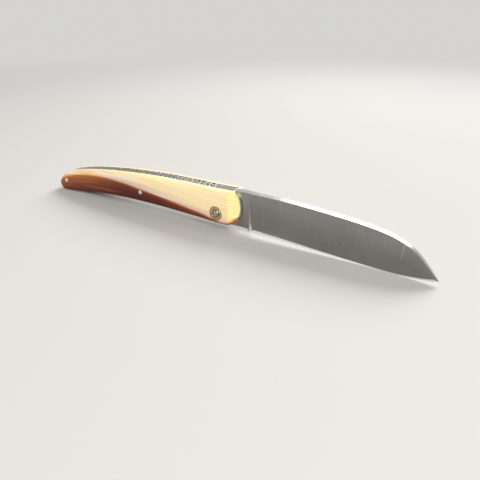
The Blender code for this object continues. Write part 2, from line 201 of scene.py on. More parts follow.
def work_copy(node, name):
    """A merged copy of a frame piece, alone selected and active, in edit mode."""
    bpy.ops.object.select_all(action="DESELECT")
    piece = bpy.data.objects.new(name, frame["nodes"][node].data.copy())
    piece.data.materials.clear()
    bpy.context.scene.collection.objects.link(piece)
    bpy.context.view_layer.objects.active = piece
    piece.select_set(True)
    bpy.ops.object.mode_set(mode="EDIT")
    bpy.ops.mesh.select_mode(type="VERT")
    bpy.ops.mesh.select_all(action="SELECT")
    bpy.ops.mesh.remove_doubles(threshold=WELD)
    bpy.ops.mesh.dissolve_limited(angle_limit=NEARLY_FLAT)
    return piece


def pick_faces(piece, test):
    """Selects the faces that pass a test on centre and normal, and no others."""
    bpy.ops.mesh.select_mode(type="FACE")
    bpy.ops.mesh.select_all(action="DESELECT")
    shape = bmesh.from_edit_mesh(piece.data)
    for face in shape.faces:
        face.select_set(test(face.calc_center_median(), face.normal))
    bmesh.update_edit_mesh(piece.data)


def pick_edges(piece, test):
    """Selects the edges that pass a test on the edge itself, and no others."""
    bpy.ops.mesh.select_mode(type="EDGE")
    bpy.ops.mesh.select_all(action="DESELECT")
    shape = bmesh.from_edit_mesh(piece.data)
    for edge in shape.edges:
        edge.select_set(test(edge))
    bmesh.update_edit_mesh(piece.data)


def loops_of(shape):
    """The separate loops of a mesh of bare edges, each as a set of vertices."""
    left = set(shape.verts)
    loops = []
    while left:
        found = {left.pop()}
        front = set(found)
        while front:
            front = {edge.other_vert(v) for v in front for edge in v.link_edges} & left
            left -= front
            found |= front
        loops.append(found)
    return loops


def plate_from(node, name, start, stop):
    """A plain plate with a frame piece's outline, without its holes, between two places on Y."""
    piece = work_copy(node, name)
    pick_faces(piece, lambda centre, normal: (
        abs(normal.y) < SIDEWAYS or abs(centre.y - start) > NEAR))
    bpy.ops.mesh.delete(type="FACE")
    bpy.ops.mesh.select_all(action="SELECT")
    bpy.ops.mesh.region_to_loop()
    bpy.ops.mesh.select_all(action="INVERT")
    bpy.ops.mesh.delete(type="EDGE_FACE")
    shape = bmesh.from_edit_mesh(piece.data)
    longest = max(loops_of(shape), key=len)
    for vertex in shape.verts:
        vertex.select_set(vertex not in longest)
    bmesh.update_edit_mesh(piece.data)
    bpy.ops.mesh.select_mode(type="VERT")
    bpy.ops.mesh.delete(type="VERT")
    bpy.ops.mesh.select_all(action="SELECT")
    bpy.ops.mesh.edge_face_add()
    bpy.ops.mesh.extrude_region_move(
        TRANSFORM_OT_translate={"value": (0.0, stop - start, 0.0)})
    bpy.ops.mesh.select_all(action="SELECT")
    bpy.ops.mesh.normals_make_consistent(inside=False)
    return piece


def round_side(piece, outer, side):
    """Rounds a plate's outer edge in steps, broadly where it faces up and narrowly below."""
    shape = bmesh.from_edit_mesh(piece.data)
    face = max(shape.faces, key=lambda item: side * item.normal.y * item.calc_area())
    start = [vertex.co.copy() for vertex in face.verts]
    ring = list(face.verts)
    inward = []
    for spot, place in enumerate(start):
        ahead = (start[(spot + 1) % len(start)] - place).normalized()
        behind = (place - start[spot - 1]).normalized()
        inward.append(face.normal.cross(ahead + behind).normalized())
    widths = []
    for towards in inward:
        upward = min(max(ROUND_LEVEL - ROUND_GAIN * towards.z, 0.0), 1.0)
        share = BELLY_ROUND_SHARE + (1.0 - BELLY_ROUND_SHARE) * upward
        widths.append(BACK_ROUND * share)
    for repeat in range(ROUND_EASING):
        widths = [(widths[spot - 1] + width + widths[(spot + 1) % len(widths)]) / 3
                  for spot, width in enumerate(widths)]
    shape.faces.remove(face)
    for vertex, width in zip(ring, widths):
        vertex.co.y = outer - side * width
    for step in range(1, SIDE_STEPS + 1):
        angle = math.radians(90.0) * step / SIDE_STEPS
        drawn = []
        for place, towards, width in zip(start, inward, widths):
            spot = place + towards * width * (1.0 - math.cos(angle))
            spot.y = outer - side * width * (1.0 - math.sin(angle))
            drawn.append(shape.verts.new(spot))
        for spot in range(len(ring)):
            shape.faces.new((ring[spot - 1], ring[spot], drawn[spot], drawn[spot - 1]))
        ring = drawn
    shape.faces.new(ring)
    bmesh.update_edit_mesh(piece.data)
    bpy.ops.mesh.select_all(action="SELECT")
    bpy.ops.mesh.normals_make_consistent(inside=False)


def finish_piece(piece, paints, node, body, edge_angle):
    """Shading that keeps flat faces flat, the piece's materials, and its place in the frame."""
    bpy.ops.object.mode_set(mode="OBJECT")
    bpy.ops.object.shade_smooth_by_angle(angle=math.radians(edge_angle))
    weighting = piece.modifiers.new("flat_faces", "WEIGHTED_NORMAL")
    weighting.keep_sharp = True
    bpy.ops.object.modifier_apply(modifier="flat_faces")
    for paint in paints:
        piece.data.materials.append(paint)
    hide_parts(node)
    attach(piece, body)


def ramp(tree, value, stops):
    """A colour ramp through (place, colour) stops."""
    made = add_node(tree, "ShaderNodeValToRGB", {0: value})
    band = made.color_ramp
    while len(band.elements) < len(stops):
        band.elements.new(0.5)
    for element, (place, colour) in zip(band.elements, stops):
        element.position = place
        element.color = (*colour, 1.0)
    return made.outputs["Color"]


def blend_colours(tree, share, first, second, mode="MIX"):
    """Two colours mixed by a share."""
    made = add_node(tree, "ShaderNodeMix", data_type="RGBA", blend_type=mode)
    for index, value in ((0, share), (6, first), (7, second)):
        if isinstance(value, bpy.types.NodeSocket):
            tree.links.new(value, made.inputs[index])
        else:
            made.inputs[index].default_value = value
    return made.outputs[2]


def new_effect(name, inputs, outputs):
    """An empty group of shader nodes, with the sockets that lead into it and out of it."""
    effect = bpy.data.node_groups.new(name, "ShaderNodeTree")
    for word, kind in inputs:
        effect.interface.new_socket(word, in_out="INPUT", socket_type="NodeSocket" + kind)
    for word in outputs:
        effect.interface.new_socket(word, in_out="OUTPUT", socket_type="NodeSocketFloat")
    given = effect.nodes.new("NodeGroupInput").outputs
    result = effect.nodes.new("NodeGroupOutput").inputs
    return effect, given, result


# Grain: noise stretched by a scale on each axis, which every finish of the knife uses
stretched_grain, given, result = new_effect(
    "stretched_grain",
    (("Place", "Vector"), ("Scale", "Vector"), ("Detail", "Float"), ("Roughness", "Float"),
     ("Distortion", "Float")),
    ("Grain",),
)
mapped = add_node(
    stretched_grain, "ShaderNodeMapping", {"Vector": given["Place"], "Scale": given["Scale"]})
spread = add_node(
    stretched_grain, "ShaderNodeTexNoise",
    {"Vector": mapped.outputs[0], "Scale": 1.0, "Detail": given["Detail"],
     "Roughness": given["Roughness"], "Distortion": given["Distortion"]},
)
stretched_grain.links.new(spread.outputs["Fac"], result["Grain"])


def grain(tree, place, scale, detail=3.0, roughness=0.55, distortion=0.0):
    """The grain effect with its values."""
    inputs = {
        "Place": place, "Scale": scale, "Detail": detail, "Roughness": roughness,
        "Distortion": distortion,
    }
    return add_node(tree, "ShaderNodeGroup", inputs, node_tree=stretched_grain).outputs["Grain"]


def bump(tree, shader, height, distance, strength):
    """Fine relief on a shader."""
    inputs = {"Height": height, "Distance": distance, "Strength": strength}
    tree.links.new(
        add_node(tree, "ShaderNodeBump", inputs).outputs[0], shader.inputs["Normal"])


# Where the brown base of the horn ends, as distance from the pivot and height
BROWN_LINE = (
    (-99.0, 5.2), (-95.5, 6.9), (-91.0, 8.4), (-84.0, 10.2), (-76.0, 11.5), (-66.0, 12.3),
    (-55.0, 12.0), (-42.0, 10.8), (-30.0, 9.4), (-18.0, 7.8), (-8.0, 6.5), (0.0, 5.3), (3.5, 4.9),
    (6.0, 5.4), (8.5, 7.0), (11.0, 9.5),
)
LINE_START = -100.0
LINE_LENGTH = 115.0
LINE_HEIGHT = 20.0
TONE_GAIN = 1.25

# Colours from deep in the brown base, at 0, through its end, at a half, to the pale horn, at 1
MIDDLE_TONES = (
    (0.0, (0.060, 0.006, 0.001)), (0.28, (0.085, 0.009, 0.001)), (0.42, (0.15, 0.024, 0.003)),
    (0.48, (0.27, 0.073, 0.015)), (0.53, (0.71, 0.51, 0.41)), (0.60, (0.81, 0.63, 0.50)),
    (0.72, (0.95, 0.76, 0.44)), (1.0, (0.97, 0.82, 0.50)),
)
TAIL_TONES = (
    (0.0, (0.10, 0.014, 0.002)), (0.22, (0.21, 0.043, 0.007)), (0.42, (0.36, 0.098, 0.017)),
    (0.485, (0.52, 0.17, 0.030)), (0.515, (0.83, 0.42, 0.12)), (0.56, (0.94, 0.68, 0.34)),
    (0.70, (0.95, 0.77, 0.45)), (0.82, (0.90, 0.62, 0.27)), (1.0, (0.84, 0.50, 0.19)),
)
NOSE_TONES = (
    (0.0, (0.20, 0.040, 0.006)), (0.46, (0.32, 0.075, 0.012)), (0.51, (0.74, 0.38, 0.11)),
    (0.57, (0.95, 0.74, 0.32)), (1.0, (0.96, 0.78, 0.36)),
)
TAIL_TONES_START = -50.0 * MM
TAIL_TONES_FULL = -82.0 * MM
NOSE_TONES_START = 3.0 * MM
NOSE_TONES_FULL = 8.0 * MM
DARK_LINE = (0.72, 0.48, 0.28, 1.0)
WARM_LINE = (0.42, 0.125, 0.022, 1.0)
PALE_LINE = (0.93, 0.85, 0.76, 1.0)
# Painted shade: a dark ring on the horn around each pin's head, where its countersink is shaded
PIN_SHADE = (0.10, 0.035, 0.012, 1.0)
PIN_SHADE_REACH = 0.45 * MM
PIN_SHADE_SHARE = 0.75

# The growth lines run along the horn and bend down with it towards the tail
GROWTH_BEND_START = -22.0 * MM
GROWTH_BEND = 1.3
GROWTH_SLANT = 0.06
BROAD_LINES = (12.0, 120.0, 380.0)
FINE_LINES = (26.0, 500.0, 1900.0)
CLOUDS = (38.0, 80.0, 90.0)


def horn_paint(pins):
    """Horn: pale above a dark base, with long growth lines, and a ring of painted shade around
    each pin.
    """
    paint, tree, shader, place = new_paint("polished_horn", 0.0)
    axes = add_node(tree, "ShaderNodeSeparateXYZ", {0: place}).outputs
    unit = 1.0 / (LINE_LENGTH * MM)
    along = maths(tree, "MULTIPLY_ADD", axes["X"], unit, -(LINE_START * MM + PIVOT_X) * unit)
    line = add_node(tree, "ShaderNodeFloatCurve", {"Value": along, "Factor": 1.0})
    curve = line.mapping.curves[0]
    spots = [((x - LINE_START) / LINE_LENGTH, z / LINE_HEIGHT) for x, z in BROWN_LINE]
    while len(curve.points) < len(spots):
        curve.points.new(0.5, 0.5)
    for point, spot in zip(curve.points, spots):
        point.location = spot
    line.mapping.update()

    behind = maths(tree, "SUBTRACT", PIVOT_X + GROWTH_BEND_START, axes["X"])
    behind = maths(tree, "MAXIMUM", behind, 0.0)
    bend = maths(tree, "MULTIPLY", maths(tree, "POWER", behind, 2.0), GROWTH_BEND)
    slant = maths(tree, "MULTIPLY_ADD", axes["X"], GROWTH_SLANT, axes["Z"])
    level = maths(tree, "ADD", slant, bend)
    growth = add_node(
        tree, "ShaderNodeCombineXYZ", {0: axes["X"], 1: axes["Y"], 2: level}).outputs[0]
    broad = grain(tree, growth, BROAD_LINES, 4.0, 0.6, 0.3)
    fine = grain(tree, growth, FINE_LINES, 3.0, 0.6, 0.2)
    cloud = grain(tree, growth, CLOUDS, 3.0, 0.5, 0.2)

    height = maths(tree, "MULTIPLY", axes["Z"], 1.0 / (LINE_HEIGHT * MM))
    over = maths(tree, "SUBTRACT", height, line.outputs[0])
    over = maths(tree, "MULTIPLY_ADD", maths(tree, "SUBTRACT", broad, 0.5), 0.07, over)
    over = maths(tree, "MULTIPLY_ADD", maths(tree, "SUBTRACT", cloud, 0.5), 0.05, over)
    tone = maths(tree, "MULTIPLY_ADD", over, TONE_GAIN, 0.5)

    to_tail = between(tree, axes["X"], PIVOT_X + TAIL_TONES_START, PIVOT_X + TAIL_TONES_FULL)
    to_nose = between(tree, axes["X"], PIVOT_X + NOSE_TONES_START, PIVOT_X + NOSE_TONES_FULL)
    colour = blend_colours(
        tree, to_tail, ramp(tree, tone, MIDDLE_TONES), ramp(tree, tone, TAIL_TONES))
    colour = blend_colours(tree, to_nose, colour, ramp(tree, tone, NOSE_TONES))

    in_brown = between(tree, tone, 0.52, 0.46)
    depth = maths(tree, "MULTIPLY_ADD", in_brown, 0.45, 0.26)
    dark_lines = maths(tree, "MULTIPLY", between(tree, fine, 0.46, 0.64), depth)
    colour = blend_colours(tree, dark_lines, colour, DARK_LINE, "MULTIPLY")
    warm_lines = maths(tree, "MULTIPLY", between(tree, broad, 0.54, 0.70), in_brown)
    colour = blend_colours(tree, maths(tree, "MULTIPLY", warm_lines, 0.55), colour, WARM_LINE)
    pale_band = maths(
        tree, "MULTIPLY", between(tree, tone, 0.50, 0.56), between(tree, tone, 0.85, 0.62))
    pale_lines = maths(tree, "MULTIPLY", between(tree, broad, 0.50, 0.64), 0.75)
    colour = blend_colours(
        tree, maths(tree, "MULTIPLY", pale_band, pale_lines), colour, PALE_LINE)
    # Painted shade around each pin, darkest at the pin's edge and fading over a short reach
    for x, z, radius in pins:
        reach_x = maths(tree, "POWER", maths(tree, "SUBTRACT", axes["X"], x), 2.0)
        reach_z = maths(tree, "POWER", maths(tree, "SUBTRACT", axes["Z"], z), 2.0)
        reach = maths(tree, "SQRT", maths(tree, "ADD", reach_x, reach_z))
        ring = between(tree, reach, radius + PIN_SHADE_REACH, radius)
        ring = maths(tree, "MULTIPLY", ring, PIN_SHADE_SHARE)
        colour = blend_colours(tree, ring, colour, PIN_SHADE)
    tree.links.new(colour, shader.inputs["Base Color"])

    tree.links.new(maths(tree, "MULTIPLY_ADD", cloud, 0.16, 0.16), shader.inputs["Roughness"])
    shader.inputs["Coat Weight"].default_value = 0.08
    shader.inputs["Coat Roughness"].default_value = 0.12
    shader.inputs["Specular IOR Level"].default_value = 0.27
    shader.inputs["IOR"].default_value = 1.54
    shader.inputs["Subsurface Weight"].default_value = 0.10
    shader.inputs["Subsurface Radius"].default_value = (1.0, 0.5, 0.2)
    shader.inputs["Subsurface Scale"].default_value = 1.0 * MM
    bump(tree, shader, maths(tree, "MULTIPLY_ADD", cloud, 1.6, fine), 0.03 * MM, 0.5)
    return paint


def middle_of(node):
    """Where a pin stands, and its radius."""
    low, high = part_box(node)
    return (low[0] + high[0]) / 2, (low[2] + high[2]) / 2, (high[0] - low[0]) / 2


pins = [middle_of(node) for node in ("rosette_right", "tail_pin", "scale_pin_right")]
horn = horn_paint(pins)
for side, word in SIDES:
    node = "scale_" + word
    low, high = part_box(node)
    inner, outer = (high[1], low[1]) if side < 0 else (low[1], high[1])
    scale = plate_from(node, "horn_scale_" + word, inner, outer)
    pick_edges(scale, lambda edge: all(abs(vertex.co.y - inner) < WELD for vertex in edge.verts))
    bpy.ops.mesh.bevel(offset=HORN_SEAM_ROUND, segments=1, affect="EDGES")
    round_side(scale, outer, side)

    facet_out = Vector((abs(outer - inner), side * (high[0] - PIVOT_X - FACET_REACH), 0.0))
    facet_out.normalize()
    bpy.ops.mesh.select_all(action="SELECT")
    bpy.ops.mesh.bisect(
        plane_co=(PIVOT_X + FACET_REACH, outer, 0.0), plane_no=facet_out, use_fill=True,
        clear_outer=True)
    pick_edges(scale, lambda edge: (
        len(edge.link_faces) == 2
        and max(face.normal.dot(facet_out) for face in edge.link_faces) > SAME_FACING
        and max(side * face.normal.y for face in edge.link_faces) > FLAT_SIDEWAYS))
    bpy.ops.mesh.bevel(offset=FACET_EDGE_ROUND, segments=FACET_EDGE_STEPS, affect="EDGES")
    finish_piece(scale, [horn], node, "handle", HORN_EDGE_ANGLE)


# Liners: two thin plates of satin steel between horn and spring.  Along the back their top
# edges are filed and chased together with the spring, before the knife is put together.
CHASE_FRONT = 2.0 * MM
CHASE_BACK = -90.0 * MM
CHASE_FADE = 7.0 * MM
CHASE_DEPTH = 0.42 * MM
CHASE_CELL = 0.95 * MM
CHASE_GRID = 0.17 * MM
CHASE_LEAST_CUTS = 3
CHASE_GAIN = 1.5
CHASED_EDGE_ANGLE = 40.0
TOP_FACING = 0.55
HOLLOW_GAIN = 1.1
HOLLOW_SHARE = 0.35
CRACK_WIDTH = 0.30
CRACK_GAIN = 3.0
CRACK_SHARE = 0.25
ROUGH_SCALE = 1.9
NOTCH_SPACING = 2.6 * MM
NOTCH_STAGGER = 0.25
NOTCH_DRIFT = 0.55
NOTCH_REACH = 0.85 * MM
NOTCH_LEAST = 0.75
NOTCH_SPREAD = 0.6
NOTCH_NARROWING = 1.1
NOTCH_RAGGED = 0.35
NOTCH_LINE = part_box("back_spring")[1][1]


def chased_depth(place):
    """How deep the chasing goes at a place, from 0 to 1: hammered facets and filed notches."""
    x = place.x - PIVOT_X
    front = min(max((CHASE_FRONT - x) / CHASE_FADE, 0.0), 1.0)
    back = min(max((x - CHASE_BACK) / CHASE_FADE, 0.0), 1.0)
    spot = Vector((place.x / CHASE_CELL, place.y / CHASE_CELL, 0.0))
    nearest, next_nearest = noise.voronoi(spot)[0][:2]
    hollow = min(nearest * HOLLOW_GAIN, 1.0) * HOLLOW_SHARE
    crack = min(max(CRACK_WIDTH - (next_nearest - nearest), 0.0) * CRACK_GAIN, 1.0) * CRACK_SHARE
    rough = 0.5 + 0.5 * noise.noise(spot * ROUGH_SCALE + Vector((3.0, 7.0, 1.0)))
    side = 1.0 if place.y > 0.0 else -1.0
    count = round(x / NOTCH_SPACING + NOTCH_STAGGER * side)
    drift = noise.noise(Vector((count * 3.7, side * 5.0, 2.0)))
    notch_x = (count - NOTCH_STAGGER * side + NOTCH_DRIFT * drift) * NOTCH_SPACING
    wander = noise.noise(Vector((count * 1.9, side * 8.0, 6.0)))
    size = NOTCH_REACH * (NOTCH_LEAST + NOTCH_SPREAD * wander)
    reach = math.hypot((x - notch_x) * NOTCH_NARROWING, place.y - side * NOTCH_LINE) / size
    reach += NOTCH_RAGGED * (rough - 0.5)
    notch = max(1.0 - reach * reach, 0.0)
    return front * back * min((hollow + crack) * rough * CHASE_GAIN + notch, 1.0)


def is_top(face, back):
    """Whether a face is a strip of the back's top, in front of a place on it."""
    centre = face.calc_center_median()
    return (face.normal.z > TOP_FACING and len(face.verts) == 4 and centre.z > PIVOT_Z
            and back < centre.x - PIVOT_X < CHASE_FRONT + CHASE_FADE)


def top_edges(shape, back, across):
    """Edges of the top's strips that run across it, or else along it, in the mesh's order."""
    return [edge for edge in shape.edges
            if (abs(edge.verts[0].co.y - edge.verts[1].co.y) > WELD) == across
            and any(is_top(face, back) for face in edge.link_faces)]


def chase(piece):
    """Divides the top of a piece into small cells and sinks them by the chased pattern."""
    shape = bmesh.from_edit_mesh(piece.data)
    sunk = shape.verts.layers.float.new("sunk")
    by_cuts = {}
    for edge in top_edges(shape, CHASE_BACK, False):
        by_cuts.setdefault(int(edge.calc_length() / CHASE_GRID), []).append(edge)
    for cuts, edges in sorted(by_cuts.items()):
        bmesh.ops.subdivide_edges(shape, edges=edges, cuts=cuts, use_grid_fill=True)
    across = top_edges(shape, CHASE_BACK - CHASE_FADE, True)
    width = max(edge.calc_length() for edge in across)
    cuts = max(int(width / CHASE_GRID), CHASE_LEAST_CUTS)
    bmesh.ops.subdivide_edges(shape, edges=across, cuts=cuts, use_grid_fill=True)
    cells = [face for face in shape.faces if is_top(face, CHASE_BACK - CHASE_FADE)]
    for vertex in {vertex for face in cells for vertex in face.verts}:
        depth = chased_depth(vertex.co)
        vertex.co.z -= depth * CHASE_DEPTH
        vertex[sunk] = depth
    bmesh.update_edit_mesh(piece.data)


# Chasing as a finish: painted shade that darkens a spot by its depth, grit in the hollows, and the
# brushed lines elsewhere
chased_wear, given, result = new_effect(
    "chased_wear", (("Place", "Vector"), ("Sunk", "Float"), ("Brush Scale", "Vector")),
    ("Tone", "Lines", "Relief"),
)
grit = grain(chased_wear, given["Place"], (2100.0, 2100.0, 2100.0), 3.0, 0.7)
brushed = grain(chased_wear, given["Place"], given["Brush Scale"], 3.0, 0.6)
gritty = between(chased_wear, given["Sunk"], 0.0, 0.15)
uneven = maths(chased_wear, "MULTIPLY", maths(chased_wear, "SUBTRACT", grit, 0.5), gritty)
chased_wear.links.new(
    maths(chased_wear, "MULTIPLY_ADD", uneven, 0.55, given["Sunk"]), result["Tone"])
chased_wear.links.new(maths(chased_wear, "MULTIPLY", brushed, 0.25), result["Lines"])
rubbed = maths(chased_wear, "MULTIPLY", grit, gritty)
chased_wear.links.new(
    maths(chased_wear, "MULTIPLY_ADD", rubbed, 3.0, brushed), result["Relief"])
# Painted shade for the chased hollows: slightly sunk spots a little darker, deep ones near black
SHALLOW_SHADE_SHARE = 0.72
HOLLOW_SHADE_GREY = (0.13, 0.125, 0.12)
HOLLOW_SHADE_BLACK = (0.02, 0.018, 0.016)
BRUSH_GREY = (0.5, 0.5, 0.5, 1.0)


def chased_steel_paint(name, plain, brush_scale):
    """Steel with bright high spots and painted shade that darkens its chased hollows by depth,
    brushed elsewhere.
    """
    paint, tree, shader, place = new_paint(name, 1.0)
    sunk = add_node(tree, "ShaderNodeAttribute", attribute_name="sunk").outputs["Fac"]
    inputs = {"Place": place, "Sunk": sunk, "Brush Scale": brush_scale}
    shade_and_grit = add_node(tree, "ShaderNodeGroup", inputs, node_tree=chased_wear).outputs
    # Painted shade: the colour darkens with the depth of the chasing
    shallow_shade = tuple(value * SHALLOW_SHADE_SHARE for value in plain)
    colour = ramp(tree, shade_and_grit["Tone"], (
        (0.0, plain), (0.26, shallow_shade), (0.58, HOLLOW_SHADE_GREY), (1.0, HOLLOW_SHADE_BLACK)))
    colour = blend_colours(tree, shade_and_grit["Lines"], colour, BRUSH_GREY, "MULTIPLY")
    tree.links.new(colour, shader.inputs["Base Color"])
    rough = maths(tree, "MULTIPLY_ADD", shade_and_grit["Tone"], 0.30, 0.25)
    tree.links.new(rough, shader.inputs["Roughness"])
    bump(tree, shader, shade_and_grit["Relief"], 0.01 * MM, 0.6)
    return paint


liner_steel = chased_steel_paint("liner_steel", (0.58, 0.58, 0.57), (40.0, 900.0, 2500.0))
for side, word in SIDES:
    node = "liner_" + word
    low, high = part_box(node)
    inner, outer = (high[1], low[1]) if side < 0 else (low[1], high[1])
    liner = plate_from(node, "steel_liner_" + word, inner, outer)
    chase(liner)
    finish_piece(liner, [liner_steel], node, "handle", CHASED_EDGE_ANGLE)


# Back spring: one bar of hardened steel along the back, flush with the blade's spine in
# front.  Its top is chased all along into small broken facets, with painted shade in the hollows.
spring_steel = chased_steel_paint(
    "chased_spring_steel", (0.64, 0.63, 0.61), (40.0, 2500.0, 900.0))
spring = work_copy("back_spring", "chased_back_spring")
chase(spring)
finish_piece(spring, [spring_steel], "back_spring", "handle", CHASED_EDGE_ANGLE)


# Blade: one piece of steel ground flat from the spine to the edge, with a finely ground
# cutting bevel, a satin finish across its width and a brighter spine with broken corners.
# The satin flanks are painted darker as a painted reflection; the spine, bevel, tang top and
# plunge are partly polished and partly painted lighter as a painted highlight.
GRIND_START = 0.6 * MM
PLUNGE_EASE = 0.35 * MM
PLUNGE_NEAR = 0.04 * MM
HEEL_HALF = 0.3 * MM
CUTTING_BEVEL_SLOPE = 3.2
CUTTING_BEVEL_SHARE = 0.35
EDGE_HALF = 0.012 * MM
SPINE_ROUND = 0.16 * MM
SPINE_ROUND_SHARE = 0.12
CORNER_SHARE = 0.3
STATIONS = 150
TIP_BACK = 0.03 * MM
BLADE_EDGE_ANGLE = 14.0
UPWARDS = 0.9
FORWARDS = 0.8
SATIN_SHADED = 0
BRIGHT_LIT = 1
SATIN_SHADED_STRIPS = (2, 8)
GROUND_LINES = (5200.0, 300.0, 30.0)
SCRATCH_LINES = (900.0, 300.0, 60.0)
POLISH_CLOUDS = (45.0, 45.0, 60.0)
SCRATCH_PALE = (0.8, 0.8, 0.8, 1.0)

# Grinding as a finish: fine lines across the blade, clouds in its polish and a few scratches
ground_finish, given, result = new_effect(
    "ground_finish", (("Place", "Vector"),), ("Lines", "Tone", "Scratches"))
lines = grain(ground_finish, given["Place"], GROUND_LINES, 3.0, 0.75)
scratches = grain(ground_finish, given["Place"], SCRATCH_LINES, 2.0, 0.5, 0.4)
cloud = maths(ground_finish, "MULTIPLY", grain(ground_finish, given["Place"], POLISH_CLOUDS), 0.4)
ground_finish.links.new(lines, result["Lines"])
ground_finish.links.new(
    maths(ground_finish, "MULTIPLY_ADD", lines, 0.6, cloud), result["Tone"])
ground_finish.links.new(
    maths(ground_finish, "MULTIPLY", between(ground_finish, scratches, 0.66, 0.72), 0.25),
    result["Scratches"])


def blade_paint(name, base, contrast, roughness, relief):
    """Ground steel with fine lines across the blade and a little unevenness in its polish."""
    paint, tree, shader, place = new_paint(name, 1.0)
    finish = add_node(tree, "ShaderNodeGroup", {"Place": place}, node_tree=ground_finish).outputs
    dark = tuple(value * (1.0 - contrast) for value in base)
    light = tuple(value * (1.0 + contrast) for value in base)
    colour = ramp(tree, finish["Tone"], ((0.34, dark), (0.66, light)))
    colour = blend_colours(tree, finish["Scratches"], colour, SCRATCH_PALE)
    tree.links.new(colour, shader.inputs["Base Color"])
    rough = maths(tree, "MULTIPLY_ADD", finish["Tone"], 0.24, roughness - 0.12)
    tree.links.new(rough, shader.inputs["Roughness"])
    bump(tree, shader, finish["Lines"], relief, 0.5)
    return paint


# Two copies of one steel: the satin one painted dark as a painted reflection, the bright one
# polished and painted light as a painted highlight
satin_shaded_steel = blade_paint("satin_blade_steel", (0.32, 0.31, 0.30), 0.13, 0.30, 0.0015 * MM)
bright_lit_steel = blade_paint("bright_blade_steel", (0.66, 0.65, 0.63), 0.10, 0.26, 0.001 * MM)

# The tang and the plunge are the frame's; in front of them the blade is drawn out in sections.
# The ground side leans a little, and its corners give the lines of the spine and the edge.
blade = work_copy("blade", "ground_blade")
shape = bmesh.from_edit_mesh(blade.data)
ground = max(
    (face for face in shape.faces if 0.5 < face.normal.y < SAME_FACING),
    key=lambda face: face.calc_area())
facing = ground.normal.copy()
corner = ground.verts[0].co.copy()
walk = [(vertex.co.x, vertex.co.z) for vertex in ground.verts]
first = walk.index(min(walk))
walk = walk[first:] + walk[:first]
walk = walk if walk[1][1] > PIVOT_Z else walk[:1] + walk[:0:-1]
plunge_x = walk[0][0]
tip_spot = walk.index(max(walk))
tip_x = walk[tip_spot][0]
over_line = sorted(walk[:tip_spot + 1])
under_line = sorted(walk[tip_spot:])
heel_x = under_line[0][0]


def height_at(line, x):
    """Height of a smooth line through points sorted by X, at a distance along the knife."""
    spot = 1
    while spot < len(line) - 2 and x > line[spot + 1][0]:
        spot += 1
    spot = spot if x > line[spot][0] else spot - 1
    (x_1, z_1), (x_2, z_2) = line[spot:spot + 2]
    before, after = line[max(spot - 1, 0)], line[min(spot + 2, len(line) - 1)]
    rise_1 = (z_2 - before[1]) / (x_2 - before[0]) * (x_2 - x_1)
    rise_2 = (after[1] - z_1) / (after[0] - x_1) * (x_2 - x_1)
    t = (x - x_1) / (x_2 - x_1)
    cubic = (2 * t**3 - 3 * t**2 + 1, t**3 - 2 * t**2 + t, 3 * t**2 - 2 * t**3, t**3 - t**2)
    return cubic[0] * z_1 + cubic[1] * rise_1 + cubic[2] * z_2 + cubic[3] * rise_2


def half_at(x, z):
    """Half of the ground blade's thickness at a place on its side."""
    return corner.y - (facing.x * (x - corner.x) + facing.z * (z - corner.z)) / facing.y


def blade_section(x):
    """Points around the ground blade at a place along it, up the right side, down the left."""
    top = height_at(over_line, x)
    bottom = height_at(under_line, x)
    deep = top - bottom
    bevel = min(CUTTING_BEVEL_SLOPE * half_at(x, bottom), CUTTING_BEVEL_SHARE * deep)
    bevel_top = bottom + bevel
    broken = min(SPINE_ROUND, SPINE_ROUND_SHARE * deep)
    half = half_at(x, top)
    outline = [
        (min(EDGE_HALF, half_at(x, bottom)), bottom),
        (half_at(x, bevel_top), bevel_top),
        (half_at(x, top - broken), top - broken),
        (half - CORNER_SHARE * broken, top - CORNER_SHARE * broken),
        (half - broken, top),
    ]
    return [(x, -y, z) for y, z in outline] + [(x, y, z) for y, z in reversed(outline)]


bpy.ops.mesh.select_all(action="SELECT")
cut_x = heel_x + GRIND_START
bpy.ops.mesh.bisect(plane_co=(cut_x, 0.0, 0.0), plane_no=(1.0, 0.0, 0.0), clear_outer=True)
shape = bmesh.from_edit_mesh(blade.data)
for vertex in shape.verts:
    if abs(vertex.co.x - heel_x) < PLUNGE_NEAR and abs(vertex.co.y) < HEEL_HALF:
        vertex.co.x += PLUNGE_EASE
rim_corners = [vertex for vertex in shape.verts if vertex.is_boundary]


def rim_corner(side, up):
    """The corner of the cut section on one side, above or below."""
    corners = (vertex for vertex in rim_corners if side * vertex.co.y > 0.0)
    return max(corners, key=lambda vertex: up * vertex.co.z)


def split_towards(start, end, x, y, z):
    """Puts a new corner on the edge from one corner of the section to another."""
    edge = shape.edges.get((start, end))
    share = (Vector((x, y, z)) - start.co).length / (end.co - start.co).length
    return bmesh.utils.edge_split(edge, start, share)[1]


low_right, high_right, high_left, low_left = (
    rim_corner(side, up) for side, up in ((-1, -1), (-1, 1), (1, 1), (1, -1)))
points = blade_section(cut_x)
right_bevel = split_towards(low_right, high_right, *points[1])
right_break = split_towards(right_bevel, high_right, *points[2])
left_bevel = split_towards(low_left, high_left, *points[8])
left_break = split_towards(left_bevel, high_left, *points[7])
right_top = split_towards(high_right, high_left, *points[4])
left_top = split_towards(right_top, high_left, *points[5])
section = [
    low_right, right_bevel, right_break, high_right, right_top,
    left_top, high_left, left_break, left_bevel, low_left,
]
